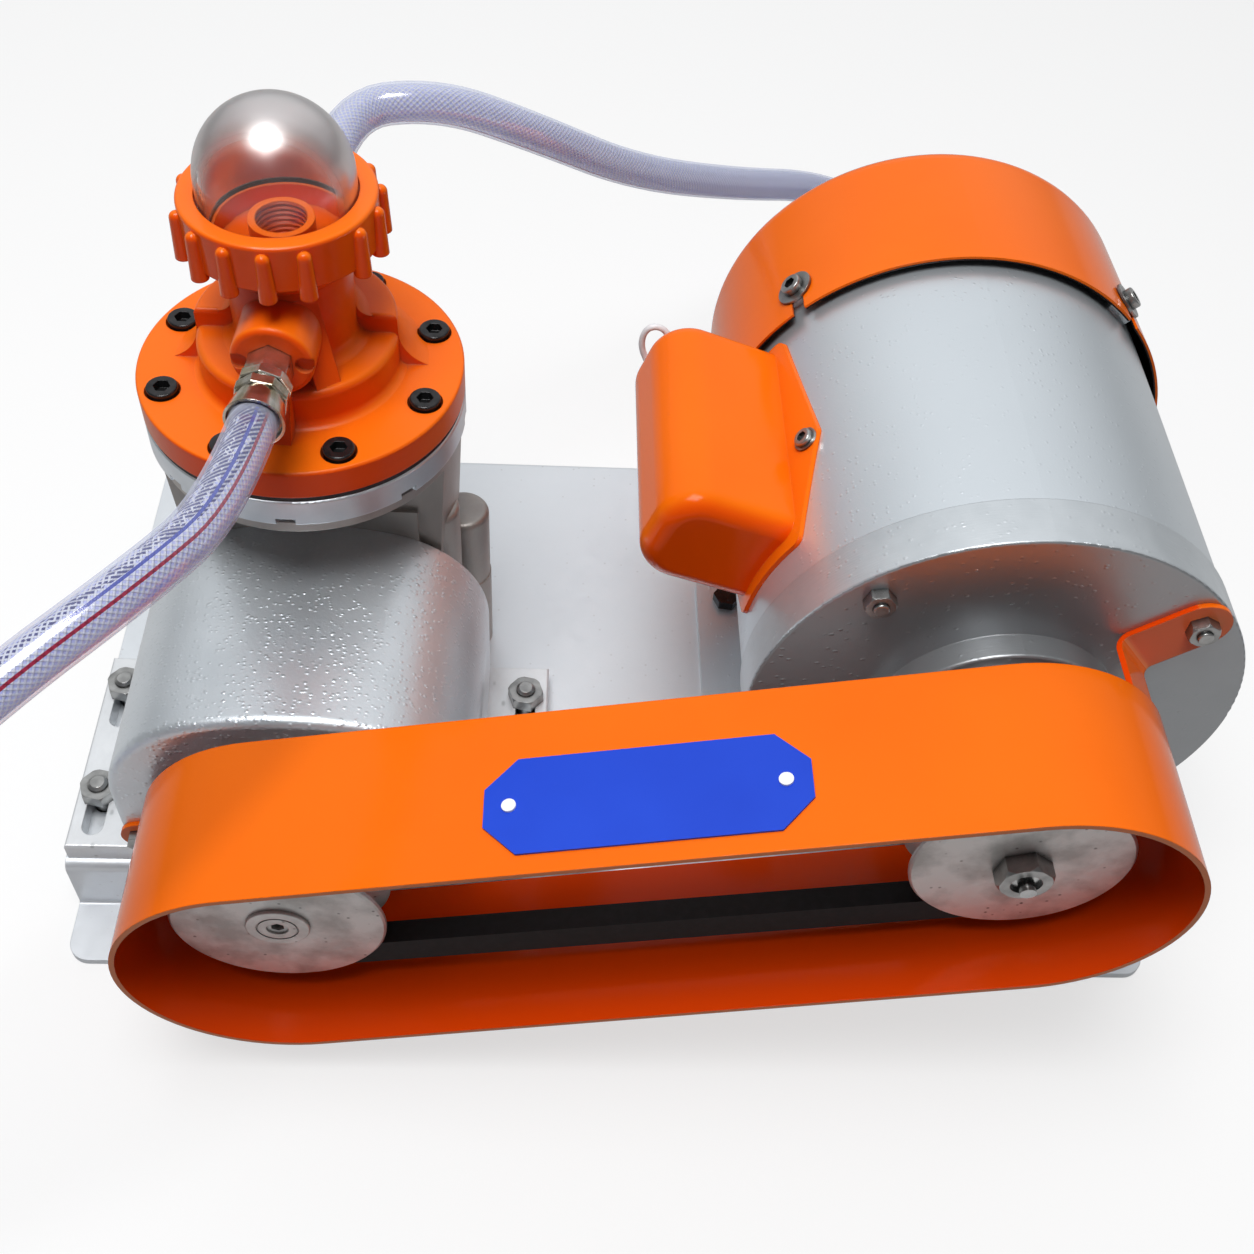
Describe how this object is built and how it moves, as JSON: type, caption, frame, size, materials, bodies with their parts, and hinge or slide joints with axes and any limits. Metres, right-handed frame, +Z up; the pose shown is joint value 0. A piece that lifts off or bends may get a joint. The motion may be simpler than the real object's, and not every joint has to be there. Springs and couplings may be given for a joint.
{
  "type": "belt-driven diaphragm pump set",
  "caption": "Diaphragm pump with a clear pulsation dome, driven by an electric motor through a guarded V belt, on one folded steel base, with braided hoses.",
  "frame": {"origin": "centre of the base's four foot holes, on the floor", "axes": "+Z up, +X from the pump to the motor, both shafts along Y with the pulleys at -Y"},
  "size_m": [0.711, 0.607, 0.2743],
  "materials": {
    "base_steel": "satin silver paint",
    "plate_steel": "satin silver paint",
    "hammered_silver": "silver hammered paint",
    "motor_silver": "smooth silver paint",
    "bell_silver": "rough silver paint",
    "orange_paint": "gloss orange paint",
    "orange_casting": "orange paint on a casting",
    "orange_ring": "gloss orange paint",
    "bare_casting": "as cast",
    "turned_aluminium": "turned",
    "pulley_metal": "turned face, pitted",
    "zinc_steel": "zinc plated",
    "black_steel": "black oxide",
    "ground_steel": "ground",
    "nickel_brass": "nickel plated, worn",
    "clear_dome": "clear moulded plastic, polished",
    "clear_hose": "clear with braid",
    "black_rubber": "matt black",
    "seal_rubber": "matt",
    "valve_plastic": "moulded",
    "fan_plastic": "moulded",
    "capacitor_shell": "moulded",
    "winding": "varnished windings on a laminated core",
    "lamination": "laminated, dull",
    "blue_plate": "blue enamel"
  },
  "bodies": {
    "frame": {"base_plate": "base_steel", "pump_mount_plate": "plate_steel", "frame_screws": "black_steel", "mount_bolts": "zinc_steel", "mount_nuts": "zinc_steel", "bearing_housing": "hammered_silver", "bearing_cap": "bare_casting", "shaft_seal": "seal_rubber", "crank_bearings": "ground_steel", "pump_body": "bare_casting", "diaphragm": "black_rubber", "diaphragm_flange": "turned_aluminium", "head_cover": "orange_casting", "head_screws": "black_steel", "valve_seats": "valve_plastic", "valve_cages": "valve_plastic", "dome_seal": "seal_rubber", "port_fittings": "nickel_brass", "hose_ferrules": "nickel_brass", "front_hose": "clear_hose", "front_hose_coil": "clear_hose", "front_hose_end": "nickel_brass", "rear_hose": "clear_hose", "rear_hose_coil": "clear_hose", "rear_hose_end": "nickel_brass", "motor_shell": "motor_silver", "front_end_bell": "bell_silver", "rear_end_bell": "bell_silver", "motor_bearings": "ground_steel", "stator": "winding", "fan_cover": "orange_paint", "cover_screws": "zinc_steel", "capacitor_cover": "orange_paint", "capacitor": "capacitor_shell", "tie_rods": "zinc_steel", "tie_rod_nuts": "zinc_steel", "motor_foot": "motor_silver", "foot_bolts": "black_steel", "belt": "black_rubber", "belt_guard": "orange_paint", "guard_bolt": "zinc_steel", "name_plate": "blue_plate", "plate_rivets": "zinc_steel"},
    "motor_rotor": {"motor_shaft": "ground_steel", "rotor": "lamination", "fan": "fan_plastic", "motor_pulley": "pulley_metal", "pulley_nut": "zinc_steel"},
    "crank": {"crankshaft": "ground_steel", "pump_pulley": "pulley_metal", "pulley_bolt": "zinc_steel"},
    "rod": {"connecting_rod": "bare_casting", "rod_bearing": "ground_steel", "clamp_plates": "turned_aluminium", "clamp_bolt": "black_steel"},
    "dome_cap": {"dome": "clear_dome"},
    "ring": {"union_ring": "orange_ring"},
    "suction_disc": {"suction_valve_disc": "seal_rubber"},
    "discharge_disc": {"discharge_valve_disc": "seal_rubber"}
  },
  "joints": [
    {"name": "motor_spin", "type": "hinge", "parent": "frame", "child": "motor_rotor", "pos_m": [0.12, 0, 0.1184], "axis": [0, 1, 0], "continuous": true},
    {"name": "crank_spin", "type": "hinge", "parent": "frame", "child": "crank", "pos_m": [-0.114, 0, 0.073], "axis": [0, 1, 0], "continuous": true},
    {"name": "rod_swing", "type": "hinge", "parent": "crank", "child": "rod", "pos_m": [-0.114, 0, 0.0765], "axis": [0, 1, 0], "continuous": true, "deforming": ["diaphragm"]},
    {"name": "ring_turn", "type": "hinge", "parent": "dome_cap", "child": "ring", "pos_m": [-0.114, 0.0021, 0.235], "axis": [0, 0, 1], "range_deg": [0, 720]},
    {"name": "dome_lift", "type": "slide", "parent": "frame", "child": "dome_cap", "axis": [0, 0, 1], "range_m": [0, 0.006]},
    {"name": "suction_valve", "type": "slide", "parent": "frame", "child": "suction_disc", "axis": [0, 0, 1], "range_m": [0, 0.002]},
    {"name": "discharge_valve", "type": "slide", "parent": "frame", "child": "discharge_disc", "axis": [0, 0, 1], "range_m": [0, 0.002]}
  ],
  "couplings": [
    {"joint": "crank_spin", "follows": "motor_spin", "ratio": 1},
    {"joint": "rod_swing", "follows": "motor_spin", "ratio": -1},
    {"joint": "dome_lift", "follows": "ring_turn", "m_per_rad": 0.00047746}
  ]
}
